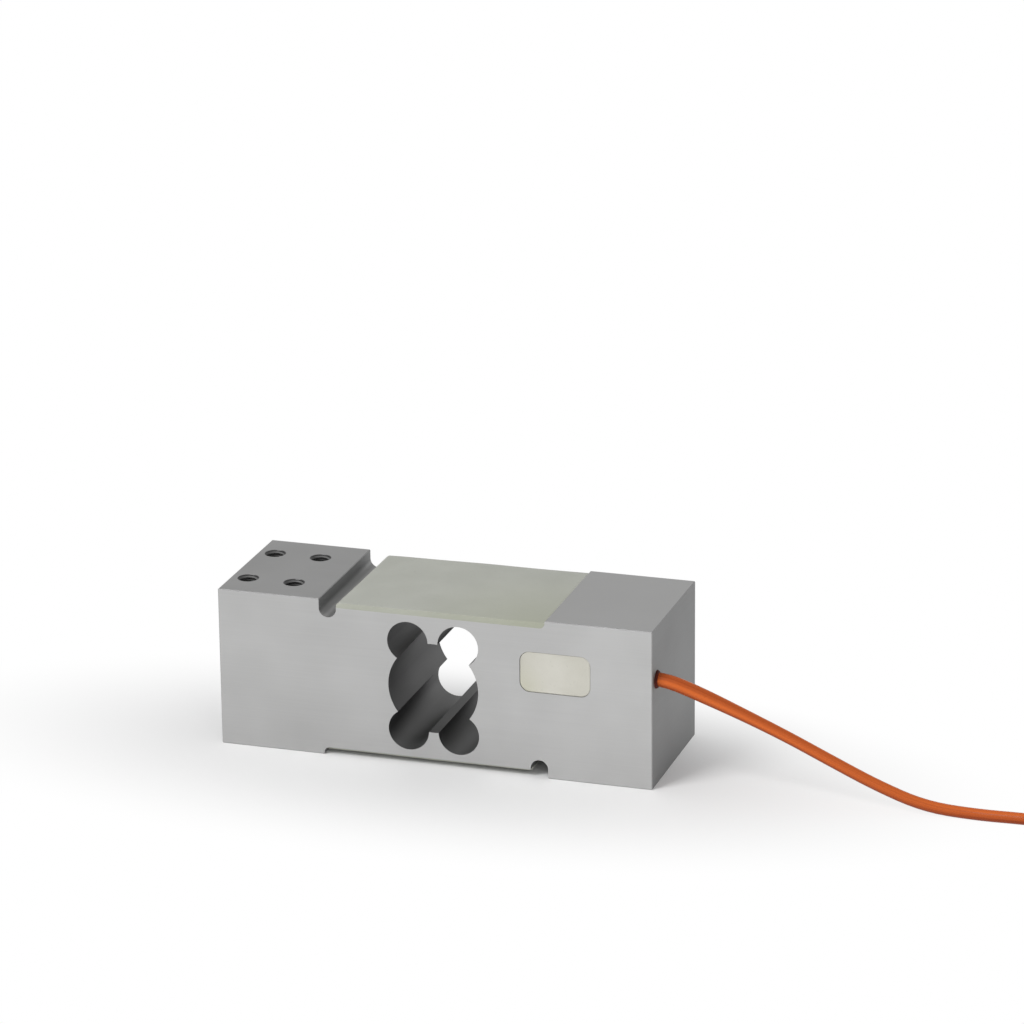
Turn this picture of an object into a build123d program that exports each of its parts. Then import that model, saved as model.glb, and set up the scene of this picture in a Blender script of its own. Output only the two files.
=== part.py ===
from build123d import *

import os
from math import cos, pi, radians, sin, tan

os.makedirs("parts", exist_ok=True)

# A single point load cell: an aluminium block whose clover-shaped bore leaves four thin
# flexures, with the strain-gauge bridge potted above and below them and the trimming
# board potted in a pocket in its front face. Millimetres, +Z up. X runs along the block
# towards the cable, -Y is the front face, and the origin is under the block's middle.

# Block
body_length = 175.0
body_width = 60.0
body_height = 64.0
edge_break = 0.3

# Pad, groove and relief: on top at the loading end, and below at the fixed end
pad_length = 41.5
groove_radius = 3.5
groove_depth = 7.2
land_length = 42.5
relief_depth = 3.0
relief_corner = 2.2

# Clover bore
bore_radius = 18.2
lobe_radius = 8.2
lobe_spacing = 20.3
flexure_thickness = 2.8

# Tapped mounting holes, M8: bored to the thread's outer diameter as deep as they are tapped,
# with the tap drill's own bore and point below
thread_diameter = 8.0
tap_drill_diameter = 6.8
mouth_diameter = 8.5
tapped_depth = 16.0
drilled_depth = 20.0
drill_point_angle = 118.0
hole_from_end = 7.0
hole_spacing_x = 19.0
hole_spacing_y = 30.0

# Wiring pocket in the front face, cable bore and wire passage
pocket_length = 28.2
pocket_height = 16.4
pocket_corner = 4.0
pocket_depth = 10.5
pocket_from_end = 24.4
pocket_above_middle = 11.0
cable_from_front = 6.1
cable_bore_clearance = 1.0
passage_diameter = 3.0
passage_inset = 1.8

# Potting
top_fill = 2.3
bottom_fill = 1.8
bottom_inset = 3.0
lip_round = 1.4
side_recess = 0.15

# Strain gauges and terminal strips
gauge_length = 9.0
gauge_width = 6.0
backing_thickness = 0.15
foil_thickness = 0.1
strand_count = 8
strand_width = 0.25
strand_pitch = 0.5
strand_length = 5.0
tab_size = 1.5
strip_length = 5.2
strip_width = 9.6
strip_thickness = 0.25
terminal_pitch = 2.4
gauge_wire_diameter = 0.4

# Bridge wires, four from each side of the block
wire_count = 4
bridge_wire_diameter = 0.6
bridge_wire_stagger = 1.2
bridge_wire_gap = 0.05
bridge_wire_turn = 6.5

# Trimming board in the pocket
board_length = 17.0
board_height = 13.0
board_thickness = 1.0
board_from_cable_wall = 6.1
solder_height = 0.8
solder_foot = 0.5
solder_column_inset = 1.4
wire_pad_pitch = 1.4
core_pad_pitch = 3.4
core_column_inset = 3.2
resistor_length = 3.2
resistor_width = 1.6
resistor_height = 0.7
resistor_cap = 0.5
resistor_cap_step = 0.05
resistor_spacing_x = 4.6
resistor_spacing_z = 4.6

# Cable: four cores in a braided screen and a round jacket
cable_diameter = 4.5
jacket_stub = 3.5
braid_outer = 3.5
braid_wall = 0.35
braid_stub = 1.4
core_diameter = 1.0
core_offset = 0.55
seal_recess = 0.8

# Cable route where it isn't coiled, points chosen by eye, each (x, y, z). The first two are
# measured from where the cable leaves the end face
cable_exit_points = [
    (-11.5, 0.0, 0.0),
    (3.5, 0.0, 0.35),
]
cable_points = [
    (106.0, -23.9, 38.2),
    (122.0, -23.9, 32.05),
    (139.0, -23.9, 25.1),
    (156.0, -23.9, 17.3),
    (173.5, -24.1, 9.6),
    (192.0, -24.7, 3.5),
    (211.0, -24.4, 2.3),
]
arc_share = 0.45

# Coil of the spare length, wound on the floor to the right. The end leaves the last turn early
# and lies on top, between the two inner columns
coil_x = 265.5
coil_y = 4.5
coil_mean_radius = 25.5
coil_columns = 3
coil_rows = 4
wound_turns = 11.4
turn_pitch = 4.6
coil_lead_in = 17.0
coil_approach = 18.0
tail_start = 40.0
tail_sweep = 22.0

# Ties round the coil
tie_angles = {"coil_tie_rear": 150.0, "coil_tie_front": -60.0}
tie_thickness = 0.9
tie_clearance = 0.05
tie_width = 5.0
tie_head_length = 4.5
tie_head_height = 6.0
tie_head_reach = 3.0

# Bare end of the cable: a shrunk sleeve, four coloured leads and the screen's drain wire
sleeve_diameter = 5.0
sleeve_sweep = 18.0
lead_raise = 0.3
inner_lead_spread = 1.3
outer_lead_spread = 3.2
lead_inside_sleeve = 2.0
lead_settling = 0.35
lead_bends = (8.0, 17.0, 28.0, 40.0)
drain_diameter = 0.5
drain_drop = 1.0
tip_diameter = 0.7
tip_length = 5.0

# Places that follow from the sizes above
half_length = body_length / 2
half_width = body_width / 2
half_height = body_height / 2
floor_rise = half_height - relief_depth
groove_x = -half_length + pad_length + groove_radius
lip_x = groove_x + groove_radius
land_x = half_length - land_length
lobe_rise = floor_rise - flexure_thickness - lobe_radius
pad_hole_x = -half_length + hole_from_end + hole_spacing_x / 2
pocket_x = half_length - pocket_from_end - pocket_length / 2
pocket_left = pocket_x - pocket_length / 2
pocket_right = pocket_x + pocket_length / 2
pocket_z = half_height + pocket_above_middle
pocket_floor_y = -half_width + pocket_depth
cable_radius = cable_diameter / 2
cable_y = -half_width + cable_from_front
cable_bore_radius = cable_radius + cable_bore_clearance
passage_x = pocket_left + passage_inset
passage_y = -half_width + pocket_depth / 2
board_x = pocket_right - board_from_cable_wall - board_length / 2
board_front_y = pocket_floor_y - board_thickness
solder_top_y = board_front_y - solder_height
coil_bottom = tie_thickness + tie_clearance
coil_width = coil_columns * turn_pitch
coil_height = coil_rows * turn_pitch
coil_top = coil_bottom + coil_height
outer_turn_radius = coil_mean_radius + (coil_columns - 1) * turn_pitch / 2
first_row_z = coil_bottom + turn_pitch / 2
tail_radius = coil_mean_radius - turn_pitch / 2
tail_z = coil_top - turn_pitch / 2 + turn_pitch * cos(radians(30))

# Planes: the block seen from the front, centred on its middle, and one for each end
front_view = Plane(origin=(0, half_width, half_height), x_dir=(1, 0, 0), z_dir=(0, -1, 0))
front_face = Plane(origin=(0, -half_width, 0), x_dir=(1, 0, 0), z_dir=(0, -1, 0))
pocket_floor = Plane(origin=(0, pocket_floor_y, 0), x_dir=(1, 0, 0), z_dir=(0, -1, 0))
cable_end = Plane(origin=(half_length, cable_y, pocket_z), x_dir=(0, 1, 0), z_dir=(1, 0, 0))
upper_pad = Plane(origin=(pad_hole_x, 0, body_height), x_dir=(1, 0, 0), z_dir=(0, 0, 1))
lower_pad = Plane(origin=(-pad_hole_x, 0, 0), x_dir=(-1, 0, 0), z_dir=(0, 0, -1))


def save(builder, name):
    """Label a finished sub-part and write it as its own file."""
    builder.part.label = name
    export_step(builder.part, f"parts/{name}.step")


def relief_floor(side):
    """The floor of the upper relief for side 1, or of the lower one for side -1, seen from outside."""
    return Plane(origin=(0, 0, half_height + side * floor_rise), x_dir=(1, 0, 0), z_dir=(0, 0, side))


def wire(points, diameter):
    """A round wire with mitred bends."""
    with BuildPart() as run:
        with BuildLine() as path:
            Polyline(*points)
        with BuildSketch(Plane(origin=path.line @ 0, z_dir=path.line % 0)):
            Circle(diameter / 2)
        sweep(path=path.line, transition=Transition.RIGHT)
    return run.part


# Spring body
with BuildSketch() as relief_cut:
    with Locations((groove_x, half_height)):
        Rectangle(land_x - groove_x, relief_depth, align=(Align.MIN, Align.MAX))
        relief_end = relief_cut.vertices().group_by(Axis.Y)[0].sort_by(Axis.X)[-1]
    fillet(relief_end, relief_corner)
    with Locations((groove_x, half_height)):
        Rectangle(2 * groove_radius, groove_depth - groove_radius, align=(Align.CENTER, Align.MAX))
    with Locations((groove_x, half_height - groove_depth + groove_radius)):
        Circle(groove_radius)

with BuildPart() as tapped_hole:
    with BuildSketch(Plane.XZ):
        with BuildLine():
            drill_radius = tap_drill_diameter / 2
            thread_radius = thread_diameter / 2
            mouth_radius = mouth_diameter / 2
            point_height = drill_radius / tan(radians(drill_point_angle / 2))
            Polyline(
                (0, 0),
                (mouth_radius, 0),
                (thread_radius, thread_radius - mouth_radius),
                (thread_radius, -tapped_depth),
                (drill_radius, -tapped_depth - thread_radius + drill_radius),
                (drill_radius, -drilled_depth),
                (0, -drilled_depth - point_height),
                close=True,
            )
        make_face()
    revolve(axis=Axis.Z)

with BuildPart() as spring_body:
    with BuildSketch(front_view):
        Rectangle(body_length, body_height)
        for turn in (0, 180):
            add(relief_cut.sketch, rotation=turn, mode=Mode.SUBTRACT)
        Circle(bore_radius, mode=Mode.SUBTRACT)
        with GridLocations(lobe_spacing, 2 * lobe_rise, 2, 2):
            Circle(lobe_radius, mode=Mode.SUBTRACT)
    extrude(amount=body_width)
    levels = spring_body.faces().filter_by(Axis.Z).group_by(Axis.Z)
    corner_edges = spring_body.edges().filter_by(Axis.Z).group_by(Axis.X)
    broken = corner_edges[0] + corner_edges[-1]
    for face in levels[0] + levels[-1]:
        broken += face.outer_wire().edges()
    chamfer(broken, edge_break)
    for pad in (upper_pad, lower_pad):
        with Locations(pad):
            with GridLocations(hole_spacing_x, hole_spacing_y, 2, 2):
                add(tapped_hole.part, mode=Mode.SUBTRACT)
    with BuildSketch(front_face):
        with Locations((pocket_x, pocket_z)):
            RectangleRounded(pocket_length, pocket_height, pocket_corner)
    extrude(amount=-pocket_depth, mode=Mode.SUBTRACT)
    with BuildSketch(cable_end):
        Circle(cable_bore_radius)
    extrude(amount=-pocket_from_end - pocket_corner, mode=Mode.SUBTRACT)
    with BuildSketch(Plane.XY.offset(relief_depth)):
        with Locations((passage_x, passage_y)):
            Circle(passage_diameter / 2)
    extrude(amount=body_height - 2 * relief_depth, mode=Mode.SUBTRACT)
save(spring_body, "spring_body")


# Strain gauges: a foil grid of parallel strands joined at alternate ends, on its backing
def strain_gauge(x, side):
    """One bonded gauge over a flexure. Its two tabs face the block's middle."""
    inward = -1 if x > 0 else 1
    with BuildPart() as gauge:
        with BuildSketch(relief_floor(side)):
            with Locations((x, 0)):
                Rectangle(gauge_length, gauge_width)
        extrude(amount=backing_thickness)
        with BuildSketch(relief_floor(side).offset(backing_thickness)):
            grid_width = (strand_count - 1) * strand_pitch
            grid_x = x - inward * (gauge_length - strand_length) / 4
            with GridLocations(0.0, strand_pitch, 1, strand_count):
                with Locations((grid_x, 0)):
                    Rectangle(strand_length, strand_width)
            for loop in range(strand_count - 1):
                far = -inward if loop % 2 == 0 else inward
                loop_x = grid_x + far * (strand_length - strand_width) / 2
                loop_y = (loop + 0.5) * strand_pitch - grid_width / 2
                with Locations((loop_x, loop_y)):
                    Rectangle(strand_width, strand_pitch + strand_width)
            for tab in (-1, 1):
                tab_x = grid_x + inward * (strand_length + tab_size - strand_width) / 2
                tab_y = tab * (grid_width + strand_width - tab_size) / 2
                with Locations((tab_x, tab_y)):
                    Rectangle(tab_size, tab_size)
        extrude(amount=foil_thickness)
    return gauge


gauges = {
    "gauge_top_left": strain_gauge(-lobe_spacing / 2, 1),
    "gauge_top_right": strain_gauge(lobe_spacing / 2, 1),
    "gauge_bottom_left": strain_gauge(-lobe_spacing / 2, -1),
    "gauge_bottom_right": strain_gauge(lobe_spacing / 2, -1),
}
for gauge_name, gauge_builder in gauges.items():
    save(gauge_builder, gauge_name)


# Terminal strips between the gauges
def terminal_strip(side):
    """A small strip bonded to the relief floor, where fine gauge wires meet the bridge wires."""
    with BuildPart() as strip:
        with BuildSketch(relief_floor(side)):
            Rectangle(strip_length, strip_width)
        extrude(amount=strip_thickness)
    return strip


top_terminal_strip = terminal_strip(1)
bottom_terminal_strip = terminal_strip(-1)
save(top_terminal_strip, "top_terminal_strip")
save(bottom_terminal_strip, "bottom_terminal_strip")


def terminal_y(index):
    """The place across the block of one of the strip's terminals."""
    return (index - (wire_count - 1) / 2) * terminal_pitch


def above_floor(side, rise):
    """The height of a point that lies a given rise off the upper or the lower relief floor."""
    return half_height + side * (floor_rise + rise)


# Gauge wires: two fine ones from each gauge to the strip
def gauge_wires(side):
    """The four straight wires of one side, lying on the foil tabs and the terminals."""
    rise = max(backing_thickness + foil_thickness, strip_thickness) + gauge_wire_diameter / 2
    z = above_floor(side, rise)
    tab_x = lobe_spacing / 2 - gauge_length / 2 + tab_size / 2
    tab_y = ((strand_count - 1) * strand_pitch + strand_width - tab_size) / 2
    landing_x = strip_length / 2 - gauge_wire_diameter
    runs = []
    for index in range(wire_count):
        end = -1 if index >= wire_count / 2 else 1
        near = 1 if index % 2 else -1
        start = (end * tab_x, near * tab_y, z)
        finish = (end * landing_x, terminal_y(index), z)
        runs.append(wire([start, finish], gauge_wire_diameter))
    return runs


top_wire_runs = gauge_wires(1)
bottom_wire_runs = gauge_wires(-1)
with BuildPart() as top_gauge_wires:
    add(top_wire_runs)
with BuildPart() as bottom_gauge_wires:
    add(bottom_wire_runs)
save(top_gauge_wires, "top_gauge_wires")
save(bottom_gauge_wires, "bottom_gauge_wires")

# Bridge wires: from the strips, side by side down the drilled passage, to the trimming board
wire_column_x = board_x - board_length / 2 + solder_column_inset


def wire_pad_z(side, index):
    """The height of a bridge wire's solder pad, those of the upper strip in the upper half."""
    return pocket_z + side * (index + 0.5) * wire_pad_pitch


def bridge_wires(side):
    """Four insulated wires that keep apart as they turn, drop through the passage and fan out."""
    rise = strip_thickness + bridge_wire_diameter / 2
    z = above_floor(side, rise)
    row_pitch = bridge_wire_diameter + bridge_wire_gap
    turn_y = -strip_width / 2 - bridge_wire_turn
    heading = Vector(passage_x, passage_y - turn_y, 0).normalized()
    across = Vector(-heading.Y, heading.X, 0)
    turn_step = (row_pitch - across.X * bridge_wire_stagger) / across.Y
    runs = []
    for index in range(wire_count):
        place = index - (wire_count - 1) / 2
        start_x = place * bridge_wire_stagger
        drop_x = passage_x + across.X * place * row_pitch
        drop_y = passage_y + across.Y * place * row_pitch
        pad_z = wire_pad_z(side, index)
        points = [
            (start_x, terminal_y(index) + bridge_wire_diameter, z),
            (start_x, turn_y + place * turn_step, z),
            (drop_x, drop_y, z),
            (drop_x, drop_y, pad_z),
            (wire_column_x, solder_top_y - bridge_wire_diameter, pad_z),
            (wire_column_x, solder_top_y, pad_z),
        ]
        runs.append(wire(points, bridge_wire_diameter))
    return runs


top_bridge_runs = bridge_wires(1)
bottom_bridge_runs = bridge_wires(-1)
with BuildPart() as top_bridge_wires:
    add(top_bridge_runs)
with BuildPart() as bottom_bridge_wires:
    add(bottom_bridge_runs)
save(top_bridge_wires, "top_bridge_wires")
save(bottom_bridge_wires, "bottom_bridge_wires")

# Trimming board on the pocket's floor
with BuildPart() as trim_board:
    with BuildSketch(pocket_floor):
        with Locations((board_x, pocket_z)):
            Rectangle(board_length, board_height)
    extrude(amount=board_thickness)
save(trim_board, "trim_board")

# Trimming resistors: chips with a metal cap on each end
resistor_places = {
    "zero_trim_resistor": (-1, 1),
    "span_trim_resistor": (1, 1),
    "zero_temperature_resistor": (-1, -1),
    "span_temperature_resistor": (1, -1),
}
resistors = {}
for resistor_name, (column, row) in resistor_places.items():
    chip_x = board_x + column * resistor_spacing_x / 2
    chip_z = pocket_z + row * resistor_spacing_z / 2
    with BuildPart() as resistor:
        with BuildSketch(pocket_floor.offset(board_thickness)):
            with Locations((chip_x, chip_z)):
                Rectangle(resistor_length - resistor_cap, resistor_width)
        extrude(amount=resistor_height)
        with BuildSketch(pocket_floor.offset(board_thickness)):
            with Locations((chip_x, chip_z)):
                with GridLocations(resistor_length - resistor_cap, 0, 2, 1):
                    Rectangle(resistor_cap, resistor_width + 2 * resistor_cap_step)
        extrude(amount=resistor_height + resistor_cap_step)
    resistors[resistor_name] = resistor
    save(resistor, resistor_name)

# Cores of the cable, from its screen to their pads on the board
core_column_x = board_x + board_length / 2 - core_column_inset
jacket_end_x = pocket_right - jacket_stub
braid_end_x = jacket_end_x - braid_stub
core_places = {
    "core_red": (-1, 1),
    "core_green": (1, 1),
    "core_white": (1, -1),
    "core_black": (-1, -1),
}


def core_pad_z(across, up):
    """The height of a core's solder pad. The two cores in front take the outer pads."""
    return pocket_z + up * core_pad_pitch * (1.5 if across < 0 else 0.5)


cores = {}
for core_name, (across, up) in core_places.items():
    core_y = cable_y + across * core_offset
    core_z = pocket_z + up * core_offset
    pad_z = core_pad_z(across, up)
    core_points = [
        (jacket_end_x, core_y, core_z),
        (braid_end_x - core_diameter, core_y, core_z),
        (core_column_x, solder_top_y - core_diameter, pad_z),
        (core_column_x, solder_top_y, pad_z),
    ]
    core_part = wire(core_points, core_diameter)
    with BuildPart() as core:
        add(core_part)
    cores[core_name] = core
    save(core, core_name)

# Solder joints on the board, one under each wire and core
with BuildPart() as board_solder:
    solder_plane = pocket_floor.offset(board_thickness + solder_height / 2)
    for side in (-1, 1):
        for index in range(wire_count):
            with Locations(solder_plane):
                with Locations((wire_column_x, wire_pad_z(side, index))):
                    wire_top = bridge_wire_diameter / 2
                    Cone(wire_top + solder_foot / 2, wire_top, solder_height)
    for across, up in core_places.values():
        with Locations(solder_plane):
            with Locations((core_column_x, core_pad_z(across, up))):
                core_top = core_diameter / 2
                Cone(core_top + solder_foot, core_top, solder_height)
save(board_solder, "board_solder")

# Braided screen, cut back where the cores leave it
with BuildPart() as shield_braid:
    with BuildSketch(cable_end.offset(jacket_end_x - half_length)):
        Circle(braid_outer / 2)
        Circle(braid_outer / 2 - braid_wall, mode=Mode.SUBTRACT)
    extrude(amount=-braid_stub)
save(shield_braid, "shield_braid")

# Cable: from inside the pocket, out of the end face, down to the floor and along to the coil
lead_in_start = (coil_x - coil_lead_in, coil_y - outer_turn_radius, first_row_z)
cable_exit = Vector(half_length, cable_y, pocket_z)
route = [Vector(jacket_end_x, cable_y, pocket_z)]
route += [cable_exit + Vector(*offset) for offset in cable_exit_points]
route += [Vector(*point) for point in cable_points]
route += [Vector(*lead_in_start) - Vector(coil_approach, 0, 0), Vector(*lead_in_start)]


def bend_radii(points):
    """As large an arc at each point as its two runs allow."""
    radii = []
    for before, at, after in zip(points, points[1:], points[2:]):
        half_turn = radians((at - before).get_angle(after - at)) / 2
        shorter = min((at - before).length, (after - at).length)
        radii.append(arc_share * shorter / tan(half_turn))
    return radii


cable_radii = bend_radii(route)
with BuildPart() as cable:
    with BuildLine() as cable_path:
        FilletPolyline(*route, radius=cable_radii)
    with BuildSketch(Plane(origin=cable_path.line @ 0, z_dir=cable_path.line % 0)):
        Circle(cable_radius)
    sweep(path=cable_path.line)
save(cable, "cable")
free_length = sum(edge.length for edge in cable_path.line.edges())
section_volume = pi * cable_radius**2 * free_length
print("cable bend radii", [round(radius, 1) for radius in cable_radii])
print("cable tube volume", round(cable.part.volume, 1), "section x length", round(section_volume, 1))

# Seal cast round the cable along its bore
with BuildPart() as cable_seal:
    with BuildSketch(cable_end.offset(-seal_recess)):
        Circle(cable_bore_radius)
    extrude(amount=seal_recess - pocket_from_end)
    add(cable.part, mode=Mode.SUBTRACT)
save(cable_seal, "cable_seal")


# Potting over the gauges: it fills the reliefs from the groove's edge to the raised land
def potting_profile(fill):
    """The potting seen from the front, on the upper side, its edge at the groove rounded over."""
    with BuildSketch() as profile:
        with Locations((lip_x, floor_rise)):
            Rectangle(land_x - lip_x, fill, align=(Align.MIN, Align.MIN))
        lip = profile.vertices().group_by(Axis.Y)[-1].sort_by(Axis.X)[0]
        fillet(lip, min(lip_round, 0.9 * fill))
    return profile.sketch


top_profile = potting_profile(top_fill)
bottom_profile = potting_profile(bottom_fill)
with BuildPart() as top_potting:
    with BuildSketch(front_view):
        add(top_profile)
    extrude(amount=body_width)
    add(spring_body.part, mode=Mode.SUBTRACT)
    for piece in (gauges["gauge_top_left"], gauges["gauge_top_right"], top_terminal_strip):
        add(piece.part, mode=Mode.SUBTRACT)
    for piece in (top_gauge_wires, top_bridge_wires):
        add(piece.part, mode=Mode.SUBTRACT)
save(top_potting, "top_potting")

with BuildPart() as bottom_potting:
    with BuildSketch(front_view.offset(bottom_inset)):
        add(bottom_profile, rotation=180)
    extrude(amount=body_width - 2 * bottom_inset)
    add(spring_body.part, mode=Mode.SUBTRACT)
    for piece in (gauges["gauge_bottom_left"], gauges["gauge_bottom_right"], bottom_terminal_strip):
        add(piece.part, mode=Mode.SUBTRACT)
    for piece in (bottom_gauge_wires, bottom_bridge_wires):
        add(piece.part, mode=Mode.SUBTRACT)
save(bottom_potting, "bottom_potting")

# Potting that fills the wiring pocket round all that it holds
with BuildPart() as side_potting:
    with BuildSketch(pocket_floor):
        with Locations((pocket_x, pocket_z)):
            RectangleRounded(pocket_length, pocket_height, pocket_corner)
    extrude(amount=pocket_depth - side_recess)
    for piece in [trim_board, board_solder, shield_braid, cable]:
        add(piece.part, mode=Mode.SUBTRACT)
    for piece in list(resistors.values()) + list(cores.values()):
        add(piece.part, mode=Mode.SUBTRACT)
    for piece in (top_bridge_wires, bottom_bridge_wires):
        add(piece.part, mode=Mode.SUBTRACT)
save(side_potting, "side_potting")

# Coil: the outer shape of the wound turns, the straight run into it and the end on top of it
coil_axis = Axis((coil_x, coil_y, 0), (0, 0, 1))


def coil_plane(angle):
    """A plane through the coil's axis, with its x outwards at that angle and its y up."""
    turn = radians(angle)
    outward = (cos(turn), sin(turn), 0)
    return Plane(origin=(coil_x, coil_y, 0), x_dir=outward, z_dir=(sin(turn), -cos(turn), 0))


with BuildPart() as cable_coil:
    with BuildSketch(coil_plane(0)):
        with Locations((coil_mean_radius, coil_bottom + coil_height / 2)):
            RectangleRounded(coil_width, coil_height, cable_radius)
    revolve(axis=coil_axis)
    with BuildSketch(Plane(origin=lead_in_start, x_dir=(0, 1, 0), z_dir=(1, 0, 0))):
        Circle(cable_radius)
    extrude(amount=coil_lead_in)
    with BuildSketch(coil_plane(tail_start)):
        with Locations((tail_radius, tail_z)):
            Circle(cable_radius)
    revolve(axis=coil_axis, revolution_arc=tail_sweep)
save(cable_coil, "cable_coil")

# Ties: a strap closed round the turns, with its locking head outside
tie_sweep = tie_width / coil_mean_radius * 180 / pi
ties = {}
for tie_name, tie_angle in tie_angles.items():
    with BuildPart() as tie:
        with BuildSketch(coil_plane(tie_angle - tie_sweep / 2)):
            with Locations((coil_mean_radius, coil_bottom + coil_height / 2)):
                for grow, mode in ((coil_bottom, Mode.ADD), (tie_clearance, Mode.SUBTRACT)):
                    RectangleRounded(
                        coil_width + 2 * grow, coil_height + 2 * grow, cable_radius + grow, mode=mode
                    )
        revolve(axis=coil_axis, revolution_arc=tie_sweep)
        strap_outside = coil_mean_radius + coil_width / 2 + tie_clearance + tie_thickness / 2
        head_plane = coil_plane(tie_angle).offset(-tie_head_length / 2)
        with BuildSketch(head_plane):
            with Locations((strap_outside, coil_bottom + coil_height / 2)):
                Rectangle(tie_head_reach, tie_head_height, align=(Align.MIN, Align.CENTER))
        extrude(amount=tie_head_length)
    ties[tie_name] = tie
    save(tie, tie_name)

# Sleeve shrunk over the jacket's end
sleeve_start = tail_start + tail_sweep
with BuildPart() as end_sleeve:
    with BuildSketch(coil_plane(sleeve_start)):
        with Locations((tail_radius, tail_z)):
            Circle(sleeve_diameter / 2)
    revolve(axis=coil_axis, revolution_arc=sleeve_sweep)
    add(cable_coil.part, mode=Mode.SUBTRACT)
save(end_sleeve, "end_sleeve")

# Leads: they leave the sleeve, settle on the coil and fan out along it
leads_start = sleeve_start + sleeve_sweep


def on_coil(angle, radius, z):
    """A point of the coil's surroundings from its angle past the sleeve, radius and height."""
    turn = radians(leads_start + angle)
    return Vector(coil_x + radius * cos(turn), coil_y + radius * sin(turn), z)


def lead_points(start_shift, start_z, spread, diameter):
    """A lead's bends: out of the sleeve, down to the turns below and on in a widening fan."""
    rest_z = coil_top + diameter / 2
    first, second, *others = lead_bends
    points = [on_coil(-lead_inside_sleeve, tail_radius + start_shift, start_z)]
    half_way = tail_radius + (start_shift + spread) / 2
    points.append(on_coil(first, half_way, start_z + lead_settling * (rest_z - start_z)))
    for angle in (second, *others):
        points.append(on_coil(angle, tail_radius + spread, rest_z))
    return points


lead_places = {
    "lead_red": (-1, 1, -outer_lead_spread),
    "lead_black": (-1, -1, -inner_lead_spread),
    "lead_green": (1, -1, inner_lead_spread),
    "lead_white": (1, 1, outer_lead_spread),
}
tip_runs = []
for lead_name, (outward, up, spread) in lead_places.items():
    lead_z = tail_z + lead_raise + up * core_offset
    lead_route = lead_points(outward * core_offset, lead_z, spread, core_diameter)
    lead_part = wire(lead_route, core_diameter)
    heading = (lead_route[-1] - lead_route[-2]).normalized()
    tip_runs.append(wire([lead_route[-1], lead_route[-1] + heading * tip_length], tip_diameter))
    with BuildPart() as lead:
        add(lead_part)
        add(end_sleeve.part, mode=Mode.SUBTRACT)
    save(lead, lead_name)

# Tinned ends of the leads
with BuildPart() as lead_tips:
    add(tip_runs)
save(lead_tips, "lead_tips")

# Drain wire of the screen, bare
drain_part = wire(lead_points(0, tail_z - drain_drop, 0, drain_diameter), drain_diameter)
with BuildPart() as drain_wire:
    add(drain_part)
    add(end_sleeve.part, mode=Mode.SUBTRACT)
save(drain_wire, "drain_wire")

turns_length = wound_turns * 2 * pi * coil_mean_radius
tail_length = radians(tail_sweep) * tail_radius
outside_length = free_length - (half_length - jacket_end_x) + coil_lead_in + turns_length + tail_length
print("cable length outside the block", round(outside_length, 1))
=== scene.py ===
# %% [markdown]
# # A single point load cell
# The frame holds the finished solids of a bending-beam weighing sensor. This lesson gives them
# their looks: a satin machined block, cast compounds, cut threads and a glossy orange cable.
# The solids come first, because every piece made here takes its place from them.
# %% Load the solids
from math import cos, pi, radians, sin

import bmesh
import bpy
from mathutils import Matrix, Vector


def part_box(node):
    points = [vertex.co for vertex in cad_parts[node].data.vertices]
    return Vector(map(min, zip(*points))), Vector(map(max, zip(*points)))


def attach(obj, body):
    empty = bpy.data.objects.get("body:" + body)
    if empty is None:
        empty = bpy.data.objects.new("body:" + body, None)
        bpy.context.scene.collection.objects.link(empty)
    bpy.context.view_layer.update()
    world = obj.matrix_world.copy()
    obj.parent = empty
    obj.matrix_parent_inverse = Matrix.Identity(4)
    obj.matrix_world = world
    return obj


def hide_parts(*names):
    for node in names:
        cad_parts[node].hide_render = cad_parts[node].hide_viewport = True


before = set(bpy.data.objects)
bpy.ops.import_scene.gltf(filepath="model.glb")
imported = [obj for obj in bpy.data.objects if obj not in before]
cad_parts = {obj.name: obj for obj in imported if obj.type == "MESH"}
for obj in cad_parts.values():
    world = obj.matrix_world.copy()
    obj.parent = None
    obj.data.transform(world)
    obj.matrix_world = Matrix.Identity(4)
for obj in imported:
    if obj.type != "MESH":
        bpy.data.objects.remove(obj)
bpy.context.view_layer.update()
body_low, body_high = (Vector(corner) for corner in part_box("spring_body"))
block_middle = (body_low + body_high) / 2
print("block", [round(side, 4) for side in body_high - body_low])

# %% [markdown]
# ## Camera
# A long lens from far off keeps the block's edges nearly parallel, as a catalogue picture does.
# The direction is given by three turns, so that each can be corrected by itself: round the
# object, down towards it, and a slight tilt of the picture.
# %% Camera
camera_data = bpy.data.cameras.new("camera")
camera_data.sensor_width = 36.0
camera_data.lens = 166.783
camera_data.clip_end = 60.0
camera = bpy.data.objects.new("camera", camera_data)
bpy.context.scene.collection.objects.link(camera)
camera_place = Vector((0.554185, -1.638562, 0.683355))
round_object = Matrix.Rotation(radians(17.967), 4, "Z")
down_to_object = Matrix.Rotation(radians(90.0 - 18.830), 4, "X")
picture_tilt = Matrix.Rotation(radians(-0.598), 4, "Z")
camera.matrix_world = Matrix.Translation(camera_place) @ round_object @ down_to_object @ picture_tilt
bpy.context.scene.camera = camera
bpy.context.scene.view_settings.view_transform = "Standard"
print("camera distance", round(camera_place.length, 3))


# %% [markdown]
# ## Helpers for finishes
# A finish is a chain of nodes: a place on the piece, a pattern read there, a range of that
# pattern, and a colour for it. A painted picture would need every piece laid flat first, so all
# finishes here are such chains, and each kind of link is a short function.
# %% Helpers for finishes
def new_finish(name):
    """An empty finish: its material, its node tree and its shader."""
    finish = bpy.data.materials.new(name)
    finish.use_nodes = True
    return finish, finish.node_tree, finish.node_tree.nodes["Principled BSDF"]


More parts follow.
